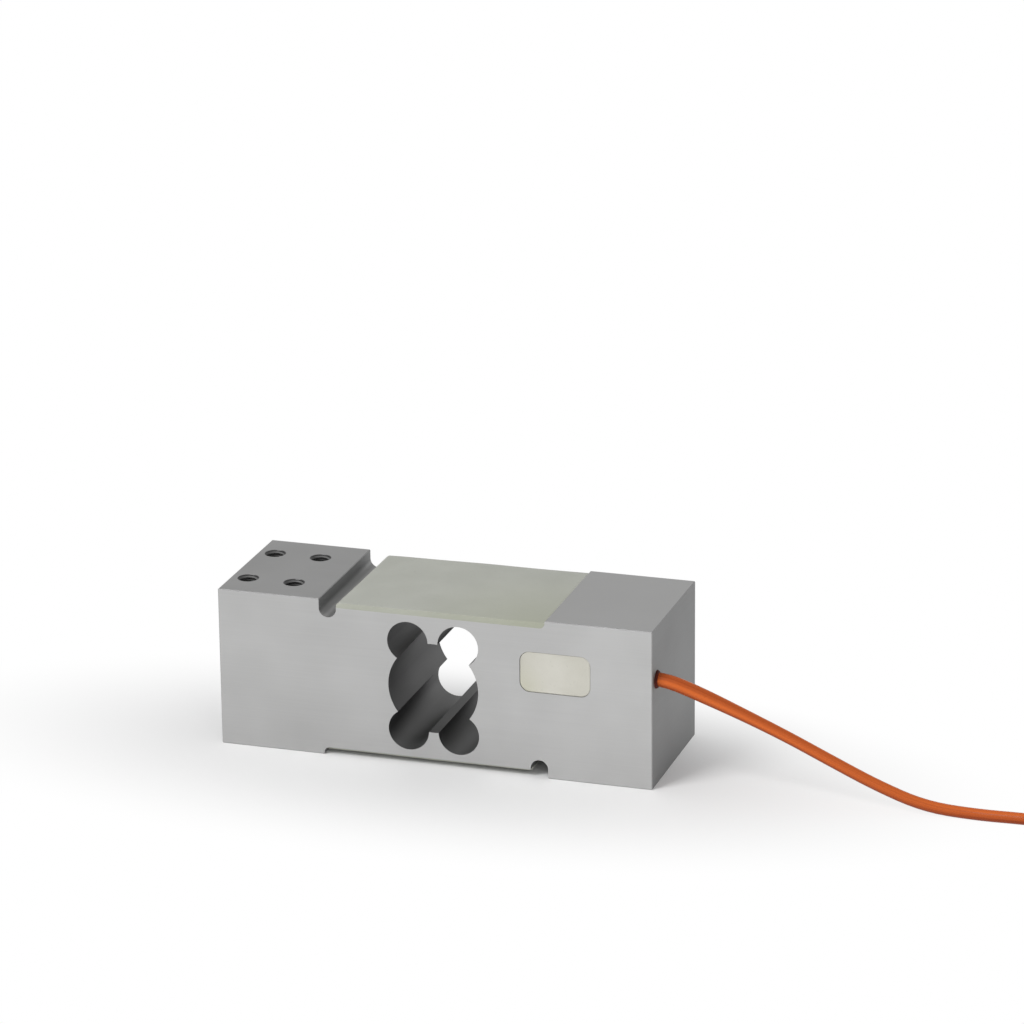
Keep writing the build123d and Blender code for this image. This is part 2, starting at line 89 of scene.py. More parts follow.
def node(tree, kind, inputs=None, **settings):
    """A node with its settings, its fixed inputs and its links."""
    made = tree.nodes.new(kind)
    for key, value in settings.items():
        setattr(made, key, value)
    for key, value in (inputs or {}).items():
        if isinstance(value, bpy.types.NodeSocket):
            tree.links.new(value, made.inputs[key])
        else:
            made.inputs[key].default_value = value
    return made


def calc(tree, operation, first, second=0.0, clamp=False):
    """One step of arithmetic in a finish."""
    made = node(tree, "ShaderNodeMath", {0: first, 1: second}, operation=operation, use_clamp=clamp)
    return made.outputs[0]


def blend(tree, share, first, second):
    """A colour between two others."""
    mixed = node(tree, "ShaderNodeMix", data_type="RGBA")
    sockets = mixed.inputs["Factor"], mixed.inputs[6], mixed.inputs[7]
    for socket, value in zip(sockets, (share, first, second)):
        if isinstance(value, bpy.types.NodeSocket):
            tree.links.new(value, socket)
        else:
            socket.default_value = value if socket.name == "Factor" else (*value, 1.0)
    return mixed.outputs[2]


def spread(tree, value, low, high, new_low, new_high):
    """Maps a range of a pattern onto another range, and stops at its ends."""
    inputs = {"Value": value, 1: low, 2: high, 3: new_low, 4: new_high}
    return node(tree, "ShaderNodeMapRange", inputs, clamp=True).outputs[0]


def parts_of(tree, vector):
    """The x, y and z of a vector."""
    return list(node(tree, "ShaderNodeSeparateXYZ", {0: vector}).outputs)


def length_of(tree, vector):
    """How long a vector is."""
    return node(tree, "ShaderNodeVectorMath", {0: vector}, operation="LENGTH").outputs["Value"]


def place_on_object(tree, scale=(1.0, 1.0, 1.0), centre=(0.0, 0.0, 0.0)):
    """The point of the surface in metres, centred and stretched for a pattern."""
    source = node(tree, "ShaderNodeTexCoord").outputs["Object"]
    centred = node(tree, "ShaderNodeVectorMath", {0: source, 1: centre}, operation="SUBTRACT").outputs[0]
    return node(tree, "ShaderNodeVectorMath", {0: centred, 1: scale}, operation="MULTIPLY").outputs[0]


def grain(tree, place, detail=3.0, roughness=0.55):
    """Cloudy noise at a place that is already scaled."""
    inputs = {"Vector": place, "Scale": 1.0, "Detail": detail, "Roughness": roughness}
    return node(tree, "ShaderNodeTexNoise", inputs).outputs["Fac"]


def raise_by(tree, shader, height, distance, strength):
    """Bumps the surface by a height pattern, a distance in metres."""
    inputs = {"Height": height, "Distance": distance, "Strength": strength}
    tree.links.new(node(tree, "ShaderNodeBump", inputs).outputs[0], shader.inputs["Normal"])


# %% [markdown]
# ## Places on the block
# One material covers the whole block, but its ends are sawn and painted darker as shade, its bore
# and holes are painted dark as shade, and its broken edges are dull. Each face could get a slot of
# its own instead, but the block comes as loose triangles. So the material finds out where a point
# is: from the way its face looks, and from how far it is from the bore's middle or from the middle
# of a hole.
# %% Places on the block
hole_from_middle = (0.0615, 0.0805)
hole_aside = 0.015
hole_reach = 0.0043
bore_reach = 0.0289
flat_from = (0.80, 0.99)


def places_on_block(tree):
    """Where a point is, how far it faces up, and shares of 0 to 1 for each kind of place."""
    normal = parts_of(tree, node(tree, "ShaderNodeNewGeometry").outputs["Normal"])
    facing = [calc(tree, "ABSOLUTE", part) for part in normal]
    flat = [spread(tree, side, *flat_from, 0.0, 1.0) for side in facing]
    from_axis = length_of(tree, place_on_object(tree, scale=(1.0, 0.0, 1.0), centre=block_middle))
    near_axis = calc(tree, "LESS_THAN", from_axis, bore_reach)
    in_bore = calc(tree, "MULTIPLY", near_axis, calc(tree, "LESS_THAN", facing[1], 0.5))
    on_end = calc(tree, "MULTIPLY", flat[0], calc(tree, "SUBTRACT", 1.0, in_bore))
    place = parts_of(tree, place_on_object(tree, centre=block_middle))
    pair_middle = sum(hole_from_middle) / 2
    from_pair = calc(tree, "SUBTRACT", calc(tree, "ABSOLUTE", place[0]), pair_middle)
    from_hole = calc(tree, "SUBTRACT", calc(tree, "ABSOLUTE", from_pair), pair_middle - hole_from_middle[0])
    from_side = calc(tree, "SUBTRACT", calc(tree, "ABSOLUTE", place[1]), hole_aside)
    to_hole = node(tree, "ShaderNodeCombineXYZ", {0: from_hole, 1: from_side}).outputs[0]
    near_hole = calc(tree, "LESS_THAN", length_of(tree, to_hole), hole_reach)
    in_hole = calc(tree, "MULTIPLY", near_hole, calc(tree, "SUBTRACT", 1.0, flat[2]))
    on_face = calc(tree, "MAXIMUM", calc(tree, "MAXIMUM", flat[0], flat[1]), flat[2])
    on_edge = calc(tree, "SUBTRACT", calc(tree, "SUBTRACT", 1.0, on_face), in_bore, clamp=True)
    on_edge = calc(tree, "SUBTRACT", on_edge, in_hole, clamp=True)
    return place, normal[2], flat[2], in_bore, on_end, in_hole, on_edge


print("bore finish reaches", bore_reach, "from its middle")

# %% [markdown]
# ## Machined aluminium
# The block is sawn from a bar and milled, so its faces carry very fine lines: along the length
# on the long faces, across it on the ends, and along the bore inside it, where the cutter went
# through. A stretched picture would give such lines, but it would repeat, so three noises do it,
# each stretched one way. A cloudy one keeps the greys from being even. The colour also carries
# painted light and shade: the tone rises towards the cable end, the land's top by the cable is
# painted lighter, the ends are painted darker, the bore and holes are painted dark, and the
# bore's walls that face up are painted lighter.
# %% Machined aluminium
noise_most = (0.3, 0.7)
milled_greys = (0.485, 0.485, 0.482), (0.555, 0.555, 0.552)
painted_light_land_grey = (0.64, 0.64, 0.635)
painted_shade_end_grey = (0.222, 0.225, 0.227)
edge_grey = (0.36, 0.36, 0.36)
painted_light_and_shade_bore_greys = (0.100, 0.100, 0.101), (0.250, 0.250, 0.249)
painted_shade_hole_grey = (0.14, 0.14, 0.14)
painted_shade_end_share = 0.75
edge_share = 0.6
cloud_share = 0.75
painted_light_per_metre = 0.9
line_height = 0.00002


def aluminium_finish():
    """Satin aluminium with cutting lines, duller on its ends and edges; painted shade on its ends, bore and
    holes, painted light on its land.
    """
    finish, tree, shader = new_finish("machined_aluminium")
    place, upward, level, in_bore, on_end, in_hole, on_edge = places_on_block(tree)
    along_length = grain(tree, place_on_object(tree, scale=(14.0, 1500.0, 1500.0)), 4.0)
    along_bore = grain(tree, place_on_object(tree, scale=(420.0, 9.0, 420.0)), 3.0)
    across_end = grain(tree, place_on_object(tree, scale=(1500.0, 22.0, 1300.0)), 4.0)
    lines = along_length
    for share, others in ((on_end, across_end), (in_bore, along_bore)):
        lines = node(tree, "ShaderNodeMix", {0: share, 2: lines, 3: others}, data_type="FLOAT").outputs[0]
    clouds = grain(tree, place_on_object(tree, scale=(26.0, 26.0, 26.0)), 2.0)
    from_clouds = calc(tree, "MULTIPLY", clouds, cloud_share)
    shade = calc(tree, "ADD", calc(tree, "MULTIPLY", lines, 1.0 - cloud_share), from_clouds)
    # Painted light: the tone rises along the block towards the cable end.
    shade = calc(tree, "ADD", shade, calc(tree, "MULTIPLY", place[0], painted_light_per_metre))
    colour = blend(tree, spread(tree, shade, *noise_most, 0.0, 1.0), *milled_greys)
    # Painted light: the land's top by the cable is painted lighter than the pad.
    painted_light_on_land = calc(tree, "MULTIPLY", level, spread(tree, place[0], 0.0, 0.05, 0.0, 0.7))
    colour = blend(tree, painted_light_on_land, colour, painted_light_land_grey)
    # Painted shade: the ends are painted darker, on top of their rougher sawn finish.
    colour = blend(tree, calc(tree, "MULTIPLY", on_end, painted_shade_end_share), colour, painted_shade_end_grey)
    colour = blend(tree, calc(tree, "MULTIPLY", on_edge, edge_share), colour, edge_grey)
    # Painted shade in the bore, with painted light on its walls that face up.
    painted_light_lower_wall = spread(tree, upward, 0.1, 0.8, 0.0, 1.0)
    colour = blend(tree, in_bore, colour, blend(tree, painted_light_lower_wall, *painted_light_and_shade_bore_greys))
    # Painted shade: the tapped holes and their threads are painted dark.
    colour = blend(tree, in_hole, colour, painted_shade_hole_grey)
    tree.links.new(colour, shader.inputs["Base Color"])
    shader.inputs["Metallic"].default_value = 1.0
    dull = calc(tree, "MAXIMUM", calc(tree, "MAXIMUM", on_edge, on_end), calc(tree, "MULTIPLY", in_bore, 0.5))
    gloss = spread(tree, shade, *noise_most, 0.46, 0.40)
    gloss = calc(tree, "ADD", gloss, calc(tree, "MULTIPLY", dull, 0.25))
    tree.links.new(gloss, shader.inputs["Roughness"])
    raise_by(tree, shader, lines, line_height, 0.14)
    return finish


aluminium = aluminium_finish()
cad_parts["spring_body"].data.materials.clear()
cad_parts["spring_body"].data.materials.append(aluminium)
print("nodes in the aluminium", len(aluminium.node_tree.nodes))

# %% [markdown]
# ## Cable route
# The cable leaves the block straight, bends down under its own weight, comes to the floor beside
# the block and runs into a coil of its spare length. A physics run could drop it there, but
# listed points give the wanted fall at once. They are the ones that the solid tube follows,
# and a NURBS line of order three passes close by them with no corner.
# %% Cable route from the pocket to the coil
cable_width = 0.0045
cable_exit = Vector((0.0875, -0.0239, 0.0430))
route = [
    (0.0596, -0.0239, 0.0430),
    (0.0760, -0.0239, 0.0430),
    (0.0910, -0.0239, 0.04335),
    (0.1060, -0.0239, 0.0382),
    (0.1220, -0.0239, 0.03205),
    (0.1390, -0.0239, 0.0251),
    (0.1560, -0.0239, 0.0173),
    (0.1735, -0.0241, 0.0096),
    (0.1920, -0.0247, 0.0035),
    (0.2110, -0.0244, 0.0023),
    (0.2305, -0.0256, 0.00325),
    (0.2485, -0.0256, 0.00325),
]
print("points before the coil", len(route))

# %% [markdown]
# ## Coil
# A hand winds the spare length in rows: outwards in one row, inwards in the next, each turn a
# cable's width from the last. Every turn shifts to its next place within one part of the
# circle. Where the cable climbs to a new row it also swings a little aside, so that it clears
# the turns that shift there. At the end it rolls over its neighbour and lies on top. An even
# screw line would be less work, but its turns would cut through each other between the rows.
# %% Sizes of the coil
coil_middle = Vector((0.2655, 0.0045, 0.0))
coil_mean_radius = 0.0255
turn_pitch = 0.0046
row_count = 4
column_radii = [coil_mean_radius + step * turn_pitch for step in (1, 0, -1)]
first_row_height = 0.00325
steps_in_turn = 24
start_angle = -90.0
shift_part = 110.0
swing_aside = 0.0025
swing_part = 1.4
roll_start = 45.0
roll_part = 85.0
roll_angle = 120.0
tail_part = 22.0
turn_places = []
for row in range(row_count):
    columns = (0, 1, 2) if row % 2 == 0 else (2, 1, 0)
    turn_places += [(column_radii[column], first_row_height + row * turn_pitch) for column in columns]
print("turns", len(turn_places))


# %% Way of the cable round the coil
def ease(share):
    """Starts and ends gently between 0 and 1."""
    share = min(max(share, 0.0), 1.0)
    return (1.0 - cos(pi * share)) / 2.0


def wound_point(progress):
    """Radius and height of the cable after so many degrees of winding."""
    turn = min(int(progress // 360), len(turn_places) - 1)
    radius, height = turn_places[turn]
    if turn + 1 < len(turn_places):
        share = ease((progress - 360 * (turn + 1) + shift_part) / shift_part)
        radius += (turn_places[turn + 1][0] - radius) * share
        height += (turn_places[turn + 1][1] - height) * share
    for climb in range(3, len(turn_places), 3):
        share = ((progress - 360 * climb + shift_part) / shift_part + (swing_part - 1) / 2) / swing_part
        if 0 < share < 1:
            outward = 1 if turn_places[climb][0] > coil_mean_radius else -1
            radius += outward * swing_aside * sin(pi * share) ** 2
    return radius, height


def rolled_point(progress):
    """Radius and height while the end rolls over its neighbour, and after that."""
    roll = radians(roll_angle) * ease((progress - roll_start) / roll_part)
    return coil_mean_radius + turn_pitch * cos(roll), turn_places[-1][1] + turn_pitch * sin(roll)


def coil_point(degrees, radius, height):
    """A point round the coil's middle."""
    turn = radians(start_angle + degrees)
    return coil_middle + Vector((radius * cos(turn), radius * sin(turn), height))


print("radius and height after half a turn", wound_point(180.0))

# %% Wind the cable
step = 360.0 / steps_in_turn
control_reach = 1.0 / cos(pi / steps_in_turn)
whole_turns = 360.0 * (len(turn_places) - 1)
end_of_cable = whole_turns + roll_start + roll_part + tail_part
progress = 0.0
while progress < end_of_cable - step / 3:
    last_lap = progress - whole_turns
    radius, height = rolled_point(last_lap) if last_lap > roll_start else wound_point(progress)
    route.append(tuple(coil_point(progress, radius * control_reach, height)))
    progress += step
tail_radius, tail_height = rolled_point(end_of_cable - whole_turns)
route.append(tuple(coil_point(end_of_cable, tail_radius, tail_height)))
print("cable control points", len(route))


# %% [markdown]
# ## Cable curve
# Blender sweeps a round section along a curve by itself, so the cable needs no mesh of its own,
# and each point of the curve can carry its own width. That gives the swelling of the jacket just
# outside the block, where it was warmed and pressed when the seal was made.
# %% Cable curve
def smooth_line(name, points, widths, section):
    """A round wire or cable along a NURBS line, with the width given at each of its points."""
    curve = bpy.data.curves.new(name, "CURVE")
    curve.dimensions = "3D"
    curve.bevel_depth = 1.0
    curve.bevel_resolution = section
    curve.resolution_u = 5
    curve.use_fill_caps = True
    spline = curve.splines.new("NURBS")
    spline.points.add(len(points) - 1)
    for point, place, width in zip(spline.points, points, widths):
        point.co = (*place, 1.0)
        point.radius = width / 2
    spline.order_u = 3
    spline.use_endpoint_u = True
    piece = bpy.data.objects.new(name, curve)
    bpy.context.scene.collection.objects.link(piece)
    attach(piece, "root")
    return piece


jacket_widths = [cable_width] * len(route)
jacket_widths[1:6] = [0.0050, 0.0056, 0.0056, 0.0048, cable_width]
cable_run = smooth_line("cable_run", route, jacket_widths, 6)
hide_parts("cable", "cable_coil")
print("widest jacket", max(jacket_widths))


# %% [markdown]
# ## Helpers for pieces
# Most pieces are made in the same few steps: a bmesh becomes an object that rides on the block,
# with its outside faces recalculated and its soft corners shaded smooth. Doing this by hand for
# each piece would let one of them miss a step, so short helpers do it for all.
# %% Helpers for pieces
def piece_from(shape, name, smooth_angle=35.0):
    """Turns a bmesh into a piece that rides on the block."""
    bmesh.ops.remove_doubles(shape, verts=shape.verts, dist=1e-7)
    bmesh.ops.recalc_face_normals(shape, faces=shape.faces)
    mesh = bpy.data.meshes.new(name)
    shape.to_mesh(mesh)
    shape.free()
    mesh.shade_smooth()
    mesh.set_sharp_from_angle(angle=radians(smooth_angle))
    piece = bpy.data.objects.new(name, mesh)
    bpy.context.scene.collection.objects.link(piece)
    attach(piece, "root")
    return piece


def soften(shape, edges, offset, segments):
    """Rounds over some edges of a bmesh."""
    bmesh.ops.bevel(
        shape, geom=edges, offset=offset, segments=segments, profile=0.5, affect="EDGES", material=-1,
        clamp_overlap=True,
    )


def block_shape(low, high):
    """A box between two corners, as the first form of a piece."""
    low, high = Vector(low), Vector(high)
    shape = bmesh.new()
    bmesh.ops.create_cube(shape, size=1.0)
    bmesh.ops.scale(shape, vec=high - low, verts=shape.verts)
    bmesh.ops.translate(shape, vec=(low + high) / 2, verts=shape.verts)
    return shape


def cut_across(shape, low, high, axis, count):
    """Cuts a shape into so many equal strips, so that the points between them can be moved."""
    for cut in range(1, count):
        place, direction = Vector(low), Vector((0, 0, 0))
        place[axis] += (high[axis] - low[axis]) * cut / count
        direction[axis] = 1.0
        everything = shape.verts[:] + shape.edges[:] + shape.faces[:]
        bmesh.ops.bisect_plane(shape, geom=everything, plane_co=place, plane_no=direction)


# %% [markdown]
# ## Compound over the gauges
# A soft grey compound is poured over the strain gauges, level with the pad's top or a little
# lower. It can't hold a sharp edge, so it rounds over at the groove and along both sides, and it
# has sunk a little towards the back, where it was poured last. A plain box would look like a
# tile, so a box with rounded edges is cut into strips, and the strips let its top sag. The same
# shape, turned over, lies below.
# %% Shape of a gauge cover
back_sag = 0.0003
far_corner_sag = 0.0005
groove_sag = 0.0003
ripple_height = 0.00006


def cover_sag(place, low, high):
    """How far the compound has sunk at a point of its top."""
    back = (place.y - low.y) / (high.y - low.y)
    towards_groove = (high.x - place.x) / (high.x - low.x)
    ripple = ripple_height * (1.0 + sin(150.0 * place.x + 1.0) * cos(120.0 * place.y))
    return back * (back_sag + far_corner_sag * towards_groove) + groove_sag * towards_groove**8 + ripple


def cover_shape(low, high, lip_round, side_round, corner_round):
    """The upper compound: rounded at the groove, along its sides and in the far corner."""
    shape = block_shape(low, high)
    middle = (low + high) / 2
    for towards, level, offset in ((-1, 1, lip_round), (1, -1, corner_round)):
        edge = [
            edge for edge in shape.edges
            if all((v.co.x - middle.x) * towards > 0 and (v.co.z - middle.z) * level > 0 for v in edge.verts)
        ]
        soften(shape, edge, offset, 6)
    sides = [
        edge for edge in shape.edges
        if abs(edge.verts[0].co.y - edge.verts[1].co.y) < 1e-6
        and all(v.co.z > high.z - lip_round - 1e-6 for v in edge.verts)
    ]
    soften(shape, sides, side_round, 4)
    cut_across(shape, low, high, axis=0, count=28)
    cut_across(shape, low, high, axis=1, count=20)
    for vert in shape.verts:
        share = max(0.0, (vert.co.z - low.z) / (high.z - low.z))
        vert.co.z -= share * cover_sag(vert.co, low, high)
    return shape


print("sag in the far corner", round(back_sag + far_corner_sag + groove_sag, 5))

# %% [markdown]
# ### Finish of the compounds
# Cast compound is cloudy, matt and a little pitted, and its faces that look sideways carry painted
# shade, darker than its top. Each is also a little olive towards one corner. Noise alone can't make
# round pits, so the cells of a Voronoi pattern make them, and a slow noise makes the clouds.
# %% Finish of the compounds
noise_middle = (0.35, 0.65)
olive_tint = (0.93, 0.94, 0.82)
cloud_scale, speck_scale, pit_scale = 38.0, 900.0, 230.0


def compound_finish(name, dull, bright, tinted_place, tinted_reach, roughness, painted_side_shade_share):
    """A cast compound: cloudy colour, painted shade where it faces sideways, slow waves and small pits."""
    finish, tree, shader = new_finish(name)
    clouds = grain(tree, place_on_object(tree, scale=[cloud_scale] * 3), 3.0)
    specks = grain(tree, place_on_object(tree, scale=[speck_scale] * 3), 2.0)
    colour = blend(tree, spread(tree, clouds, *noise_middle, 0.0, 1.0), dull, bright)
    away = length_of(tree, place_on_object(tree, centre=tinted_place))
    olive = tuple(part * tint for part, tint in zip(dull, olive_tint))
    colour = blend(tree, spread(tree, away, 0.0, tinted_reach, 0.75, 0.0), colour, olive)
    sideways = parts_of(tree, node(tree, "ShaderNodeNewGeometry").outputs["Normal"])[1]
    # Painted shade: faces that look sideways are painted darker than the top.
    painted_side_shade = spread(tree, calc(tree, "ABSOLUTE", sideways), 0.3, 0.9, 0.0, painted_side_shade_share)
    colour = blend(tree, painted_side_shade, colour, tuple(0.8 * part for part in olive))
    dirty = spread(tree, specks, 0.62, 0.75, 0.0, 0.25)
    colour = blend(tree, dirty, colour, tuple(0.75 * part for part in dull))
    tree.links.new(colour, shader.inputs["Base Color"])
    gloss = spread(tree, clouds, *noise_most, roughness - 0.05, roughness + 0.07)
    tree.links.new(gloss, shader.inputs["Roughness"])
    shader.inputs["Specular IOR Level"].default_value = 0.4
    cell_inputs = {"Vector": place_on_object(tree), "Scale": pit_scale, "Randomness": 1.0}
    cells = node(tree, "ShaderNodeTexVoronoi", cell_inputs)
    pits = spread(tree, cells.outputs["Distance"], 0.03, 0.10, -1.0, 0.0)
    height = calc(tree, "ADD", calc(tree, "MULTIPLY", clouds, 4.0), calc(tree, "MULTIPLY", specks, 0.18))
    height = calc(tree, "ADD", height, calc(tree, "MULTIPLY", pits, 0.35))
    raise_by(tree, shader, height, 0.0001, 0.6)
    return finish


# %% Gauge covers
def turn_over(shape):
    """Turns a shape half round about the line across the block's middle."""
    half_turn = Matrix.Rotation(pi, 3, "Y")
    bmesh.ops.rotate(shape, cent=block_middle, matrix=half_turn, verts=shape.verts)


cover_finish = compound_finish(
    "cover_compound", (0.415, 0.425, 0.378), (0.470, 0.480, 0.432), tinted_place=(0.042, -0.03, 0.063),
    tinted_reach=0.055, roughness=0.42, painted_side_shade_share=0.4,
)
cover_low, cover_high = (Vector(corner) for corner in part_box("top_potting"))
top_shape = cover_shape(cover_low, cover_high, lip_round=0.0014, side_round=0.0015, corner_round=0.0021)
gauge_cover_top = piece_from(top_shape, "gauge_cover_top")
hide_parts("top_potting")

under_low, under_high = (Vector(corner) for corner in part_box("bottom_potting"))
depth = under_high.z - under_low.z
mirror_low = Vector((-under_high.x, under_low.y, 2 * block_middle.z - under_high.z))
mirror_high = Vector((-under_low.x, under_high.y, mirror_low.z + depth))
under_shape = cover_shape(mirror_low, mirror_high, lip_round=0.0013, side_round=0.0007, corner_round=0.0001)
turn_over(under_shape)
gauge_cover_bottom = piece_from(under_shape, "gauge_cover_bottom")
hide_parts("bottom_potting")
for cover in (gauge_cover_top, gauge_cover_bottom):
    cover.data.materials.append(cover_finish)
print("gauge cover thickness", round(cover_high.z - cover_low.z, 5))

# %% [markdown]
# ## Compound in the wiring pocket
# The pocket in the front face is filled with a cream compound. It shrinks a little as it cures,
# so it pulls away from the pocket's rim and leaves a thin dark line round itself. A painted line
# would stay dark from every side, so it is a real gap: a box gets the pocket's round corners, and
# then a soft rounding along its front edge.
# %% Pocket filling
pocket_low, pocket_high = (Vector(corner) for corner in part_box("side_potting"))
pocket_corner = 0.004
pocket_rim = 0.0005
shrink_wave = 0.00004
pocket_shape = block_shape(pocket_low, pocket_high)
inwards = [edge for edge in pocket_shape.edges if abs(edge.verts[0].co.y - edge.verts[1].co.y) > 1e-4]
soften(pocket_shape, inwards, pocket_corner, 10)
in_front = [edge for edge in pocket_shape.edges if all(v.co.y < pocket_low.y + 1e-6 for v in edge.verts)]
soften(pocket_shape, in_front, pocket_rim, 5)
cut_across(pocket_shape, pocket_low, pocket_high, axis=0, count=14)
cut_across(pocket_shape, pocket_low, pocket_high, axis=2, count=9)
for vert in pocket_shape.verts:
    if vert.co.y < pocket_low.y + 1e-6:
        vert.co.y += shrink_wave * (1.0 + sin(300.0 * vert.co.x) * sin(380.0 * vert.co.z))
pocket_fill = piece_from(pocket_shape, "pocket_fill")
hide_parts("side_potting")
pocket_finish = compound_finish(
    "pocket_compound", (0.530, 0.518, 0.455), (0.600, 0.588, 0.530), tinted_place=(0.035, -0.03, 0.035),
    tinted_reach=0.012, roughness=0.5, painted_side_shade_share=0.0,
)
pocket_fill.data.materials.append(pocket_finish)
print("pocket filling", [round(side, 4) for side in pocket_high - pocket_low])

# %% [markdown]
# ## Seal round the cable
# Sealing compound fills the bore round the cable. Its dark red-brown is partly painted shade: it
# also stands for the shadow and the orange reflection of the jacket in the bore's mouth. It is
# pressed in until it swells out, so a bead stands a millimetre proud of the end face and leans on
# the jacket. A torus could be the bead, but the filling behind it would be missing, so both are
# one profile, spun round the cable.
# %% Seal ring
seal_low, seal_high = (Vector(corner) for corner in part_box("cable_seal"))
cable_bore_radius = (seal_high.z - seal_low.z) / 2
jacket_squeeze = 0.0001
steps_round_seal = 40
jacket_grip = cable_width / 2 - jacket_squeeze
bead_outline = [
    (0.00105, jacket_grip),
    (0.00105, 0.00275),
    (0.00098, 0.00300),
    (0.00078, 0.00325),
    (0.00048, 0.00346),
    (0.00020, 0.00358),
    (0.00001, 0.00362),
    (0.00001, cable_bore_radius),
]
seal_profile = [(body_high.x + proud, reach) for proud, reach in bead_outline]
seal_profile = [(seal_low.x, jacket_grip)] + seal_profile + [(seal_low.x, cable_bore_radius)]
seal_shape = bmesh.new()
corners = [
    seal_shape.verts.new((along, cable_exit.y, cable_exit.z + reach)) for along, reach in seal_profile
]
rim = [seal_shape.edges.new((corners[index - 1], corners[index])) for index in range(len(corners))]
bmesh.ops.spin(
    seal_shape, geom=corners + rim, cent=cable_exit, axis=(1, 0, 0), angle=2 * pi,
    steps=steps_round_seal, use_merge=True,
)
seal_ring = piece_from(seal_shape, "seal_ring", 60.0)
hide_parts("cable_seal")


# %% [markdown]
# ### Plain finishes
# Many small parts are moulded, drawn or dipped, and differ only in colour and gloss. Even these
# aren't one flat colour: a fine grain mixes two close ones, and moves the gloss with them. One
# function makes them all, and the seal is the first to use it.
# %% Plain finishes
def plain_finish(name, dark, light, scale, roughness, bump=0.00002, metallic=0.0, specular=0.5):
    """A moulded or drawn surface: two close colours in a grain, uneven gloss and a fine bump."""
    finish, tree, shader = new_finish(name)
    pattern = grain(tree, place_on_object(tree, scale=scale), 4.0)
    colour = blend(tree, spread(tree, pattern, *noise_middle, 0.0, 1.0), dark, light)
    tree.links.new(colour, shader.inputs["Base Color"])
    gloss = spread(tree, pattern, *noise_most, max(0.05, roughness - 0.06), roughness + 0.08)
    tree.links.new(gloss, shader.inputs["Roughness"])
    shader.inputs["Metallic"].default_value = metallic
    shader.inputs["Specular IOR Level"].default_value = specular
    raise_by(tree, shader, pattern, bump, 0.6)
    return finish


seal_grain = (600.0, 600.0, 600.0)
# The seal's dark red-brown is partly painted shade and a painted reflection of the jacket.
painted_shade_seal_finish = plain_finish(
    "seal_compound", (0.045, 0.007, 0.005), (0.100, 0.014, 0.009), seal_grain, 0.5,
    bump=0.00005, specular=0.12,
)
seal_ring.data.materials.append(painted_shade_seal_finish)
print("seal from", round(seal_low.x, 4), "to", round(body_high.x + bead_outline[0][0], 5))

# %% [markdown]
# ## Cut threads
# A tap leaves a ridge that winds up the wall of each hole. A bump in the material could hint at
# it, but a hole is open to the light, and its turns are seen from the side. So one profile of the
# ridge is spun with a rise at every step. The countersink has cut its first turn away, so every
# point near the mouth is pushed back to the countersink's cone.
# %% Shape of a thread
thread_pitch = 0.00125
thread_radius = 0.0040
crest_radius = 0.00332
mouth_radius = 0.00425
ridge_foot = 0.00054
ridge_crest = 0.00016
ridge_root = thread_radius + 0.00003
thread_turns = 11.6
tapped_depth = 0.0160
runout = 0.0008
steps_in_thread_turn = 40


def thread_shape(centre):
    """The ridge of a hole in the upper face, wound up from its bottom to its mouth."""
    shape = bmesh.new()
    bottom = centre.z - tapped_depth + runout
    lower, upper = (ridge_root, -ridge_foot), (ridge_root, ridge_foot)
    outline = lower, (crest_radius, -ridge_crest), (crest_radius, ridge_crest), upper
    verts = [shape.verts.new((centre.x + reach, centre.y, bottom + rise)) for reach, rise in outline]
    first = shape.faces.new(verts)
    bmesh.ops.spin(
        shape, geom=[first] + first.edges[:] + verts, cent=centre, axis=(0, 0, 1),
        dvec=(0, 0, thread_pitch / steps_in_thread_turn), angle=2 * pi * thread_turns,
        steps=round(thread_turns * steps_in_thread_turn), use_duplicate=False,
    )
    for vert in shape.verts:
        outward = Vector((vert.co.x - centre.x, vert.co.y - centre.y, 0))
        cone = mouth_radius - (centre.z - vert.co.z)
        if 0 < outward.length < cone:
            vert.co += outward.normalized() * (cone - outward.length)
    return shape


print("height of the ridge", round(thread_radius - crest_radius, 5))

# %% Threads in all the holes
for along in hole_from_middle:
    for aside in (-hole_aside, hole_aside):
        mouth = Vector((-along, aside, body_high.z))
        for side, name in ((1, "upper"), (-1, "lower")):
            ridge = thread_shape(mouth)
            if side < 0:
                turn_over(ridge)
            label = f"thread_{name}_{round(along * 1e4)}_{'front' if aside < 0 else 'back'}"
            thread = piece_from(ridge, label, 25.0)
            thread.data.materials.append(aluminium)
print("turns of each thread", thread_turns, "in", 4 * len(hole_from_middle), "holes")


